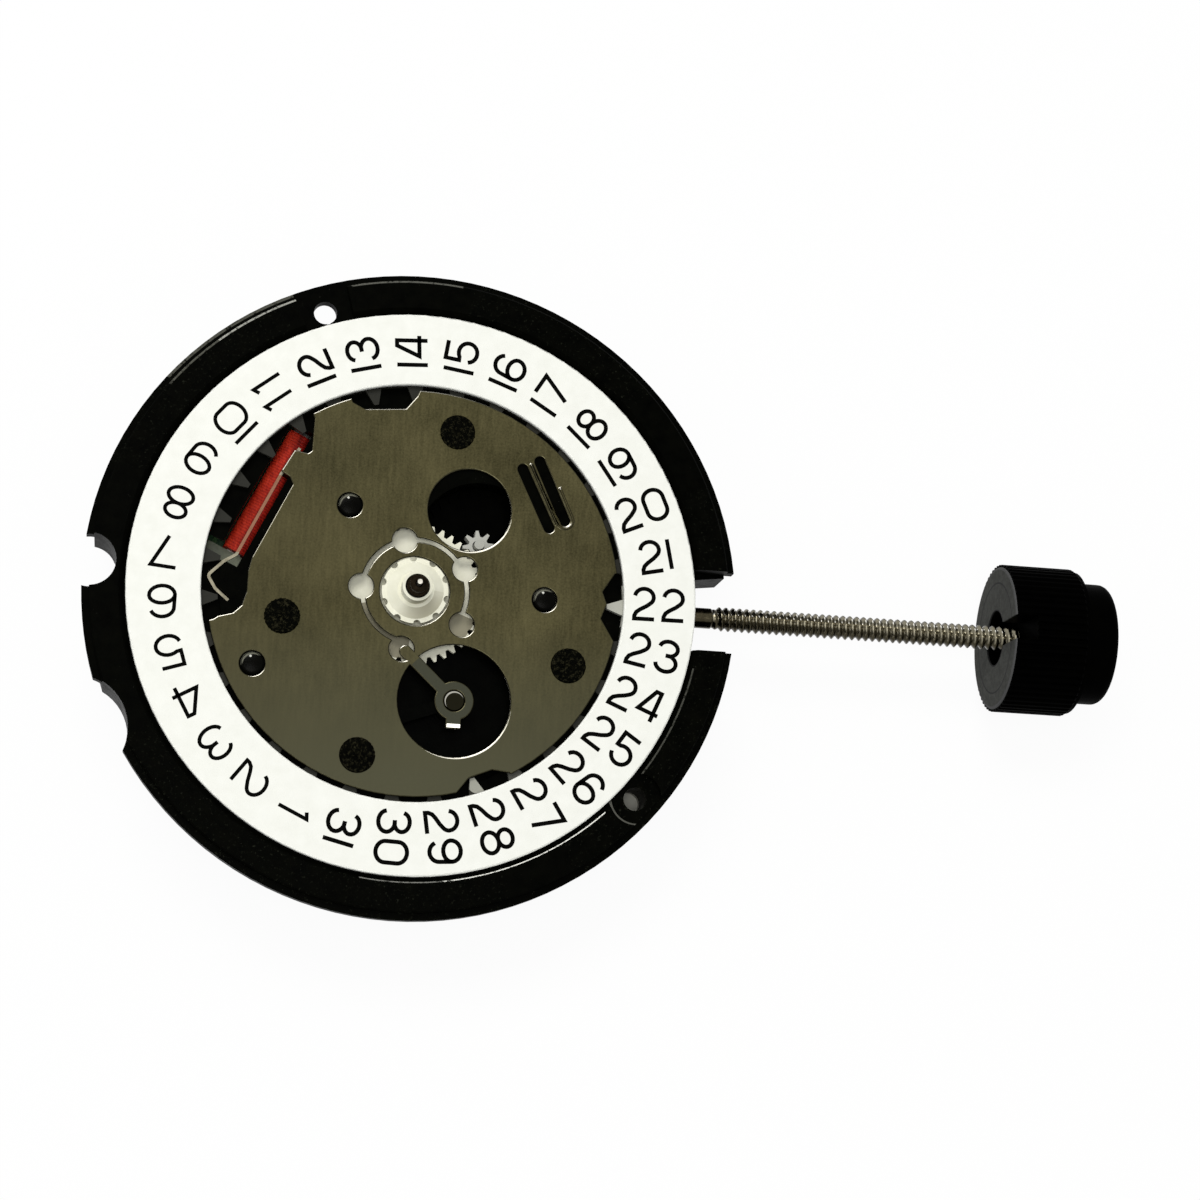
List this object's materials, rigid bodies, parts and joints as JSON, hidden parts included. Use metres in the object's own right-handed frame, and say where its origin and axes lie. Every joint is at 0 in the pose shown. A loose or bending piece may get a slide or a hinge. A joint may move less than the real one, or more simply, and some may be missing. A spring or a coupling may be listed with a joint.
{
  "type": "quartz watch movement",
  "caption": "Thin analogue watch movement with a date ring, central hand posts, a toothed motion work and a threaded setting stem with a knurled crown.",
  "frame": {"origin": "on the hand axis, in the plane of the rim's top face that the dial rests on", "axes": "+Z out of the dial side along the hand posts, +X along the setting stem to the crown"},
  "size_m": [0.0422, 0.0262, 0.0067],
  "materials": {
    "black_plastic": "satin",
    "white_plastic": "satin",
    "grey_plastic": "satin",
    "plate_steel": "satin, fine grain along Y",
    "stem_steel": "satin",
    "dark_steel": "polished",
    "spring_steel": "satin",
    "soft_iron": "matte",
    "nickel_brass": "satin",
    "gold_brass": "satin",
    "magnet": "satin",
    "copper_winding": "gloss",
    "board_green": "satin",
    "resin_black": "gloss",
    "can_metal": "satin",
    "jewel_red": "polished",
    "cell_steel": "satin"
  },
  "bodies": {
    "frame": {"main_plate": "black_plastic", "date_plate": "plate_steel", "date_jumper": "spring_steel", "stator": "soft_iron", "coil_core": "soft_iron", "coil_winding": "copper_winding", "coil_terminal": "board_green", "circuit_board": "board_green", "quartz_can": "can_metal", "control_chip": "resin_black", "train_bridge": "plate_steel", "seconds_bearing": "jewel_red", "bridge_screws": "stem_steel", "battery": "cell_steel", "battery_insulator": "grey_plastic", "minus_contact": "gold_brass", "battery_clamp": "spring_steel", "clamp_screw": "stem_steel", "yoke": "spring_steel", "setting_cover": "plate_steel", "cover_screws": "stem_steel"},
    "date_ring": {"date_disc": "white_plastic"},
    "hour": {"hour_wheel": "white_plastic"},
    "minute": {"cannon_pinion": "dark_steel", "centre_wheel": "gold_brass"},
    "minute_work": {"minute_wheel": "grey_plastic"},
    "date_drive": {"date_wheel": "black_plastic"},
    "seconds": {"seconds_wheel": "nickel_brass"},
    "third": {"third_wheel": "nickel_brass"},
    "fifth": {"fifth_wheel": "nickel_brass"},
    "rotor": {"rotor": "magnet"},
    "clutch": {"sliding_pinion": "stem_steel"},
    "stem": {"setting_stem": "stem_steel", "crown": "black_plastic"},
    "lever": {"setting_lever": "spring_steel"},
    "setting": {"setting_wheel": "grey_plastic"},
    "corrector": {"corrector_wheel": "white_plastic"}
  },
  "joints": [
    {"name": "rotor_turn", "type": "hinge", "parent": "frame", "child": "rotor", "pos_m": [-0.00277, 0.00332, 0], "axis": [0, 0, 1], "continuous": true},
    {"name": "fifth_turn", "type": "hinge", "parent": "frame", "child": "fifth", "pos_m": [-0.00083, 0.00251, 0], "axis": [0, 0, 1], "continuous": true},
    {"name": "seconds_turn", "type": "hinge", "parent": "frame", "child": "seconds", "pos_m": [0, 0, 0], "axis": [0, 0, 1], "continuous": true},
    {"name": "third_turn", "type": "hinge", "parent": "frame", "child": "third", "pos_m": [-0.00045, -0.00256, 0], "axis": [0, 0, 1], "continuous": true},
    {"name": "minute_turn", "type": "hinge", "parent": "frame", "child": "minute", "pos_m": [0, 0, 0], "axis": [0, 0, 1], "continuous": true},
    {"name": "minute_work_turn", "type": "hinge", "parent": "frame", "child": "minute_work", "pos_m": [0.00252, 0.00213, 0], "axis": [0, 0, 1], "continuous": true},
    {"name": "hour_turn", "type": "hinge", "parent": "frame", "child": "hour", "pos_m": [0, 0, 0], "axis": [0, 0, 1], "continuous": true},
    {"name": "date_drive_turn", "type": "hinge", "parent": "frame", "child": "date_drive", "pos_m": [0.00178, -0.00432, 0], "axis": [0, 0, 1], "continuous": true},
    {"name": "setting_turn", "type": "hinge", "parent": "frame", "child": "setting", "pos_m": [0.00523, 0, 0], "axis": [0, 0, 1], "continuous": true},
    {"name": "date_ring_turn", "type": "hinge", "parent": "frame", "child": "date_ring", "pos_m": [0, 0, 0], "axis": [0, 0, 1], "continuous": true},
    {"name": "corrector_turn", "type": "hinge", "parent": "frame", "child": "corrector", "pos_m": [0.00645, -0.00175, 0], "axis": [0, 0, 1], "continuous": true},
    {"name": "crown_turn", "type": "hinge", "parent": "frame", "child": "clutch", "pos_m": [0.0075, 0, -0.00175], "axis": [1, 0, 0], "continuous": true},
    {"name": "crown_pull", "type": "slide", "parent": "clutch", "child": "stem", "axis": [1, 0, 0], "range_m": [0, 0.0012]},
    {"name": "lever_swing", "type": "hinge", "parent": "frame", "child": "lever", "pos_m": [0.01015, -0.0027, 0], "axis": [0, 0, 1], "range_deg": [-25.8, 0]}
  ],
  "couplings": [
    {"joint": "fifth_turn", "follows": "rotor_turn", "ratio": -0.16667},
    {"joint": "seconds_turn", "follows": "rotor_turn", "ratio": 0.033333},
    {"joint": "third_turn", "follows": "rotor_turn", "ratio": -0.0044444},
    {"joint": "minute_turn", "follows": "rotor_turn", "ratio": 0.00055556},
    {"joint": "minute_work_turn", "follows": "rotor_turn", "ratio": -0.00024306},
    {"joint": "hour_turn", "follows": "rotor_turn", "ratio": 0.000046296},
    {"joint": "date_drive_turn", "follows": "rotor_turn", "ratio": -0.000023148},
    {"joint": "setting_turn", "follows": "rotor_turn", "ratio": 0.00048611},
    {"joint": "lever_swing", "follows": "crown_pull", "rad_per_m": -373.49}
  ]
}
